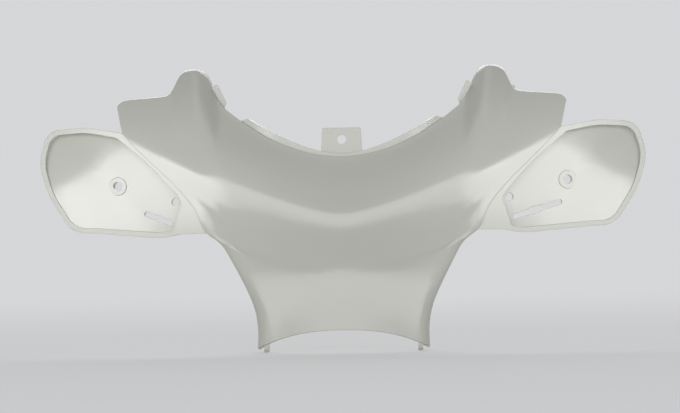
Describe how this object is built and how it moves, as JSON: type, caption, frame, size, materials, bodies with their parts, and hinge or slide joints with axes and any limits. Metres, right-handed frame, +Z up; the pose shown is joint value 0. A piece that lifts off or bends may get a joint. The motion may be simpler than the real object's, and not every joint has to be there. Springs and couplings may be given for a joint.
{
  "type": "scooter handlebar cover",
  "caption": "Front handlebar cover of a scooter: a moulded shell with horned shoulders, a winged indicator pocket each side, a waisted apron and slotted legs.",
  "frame": {"origin": "centre of the screw hole in the tab at the middle of the top edge, halfway through the tab", "axes": "As fitted on the scooter: -Y forward along the hole, out of the front of the cover, +Z up, +X to the right of someone who faces the cover"},
  "size_m": [0.4708, 0.0945, 0.2206],
  "materials": {
    "shell_plastic": "satin white, unpainted"
  },
  "bodies": {
    "root": {"handlebar_cover": "shell_plastic"}
  },
  "joints": []
}
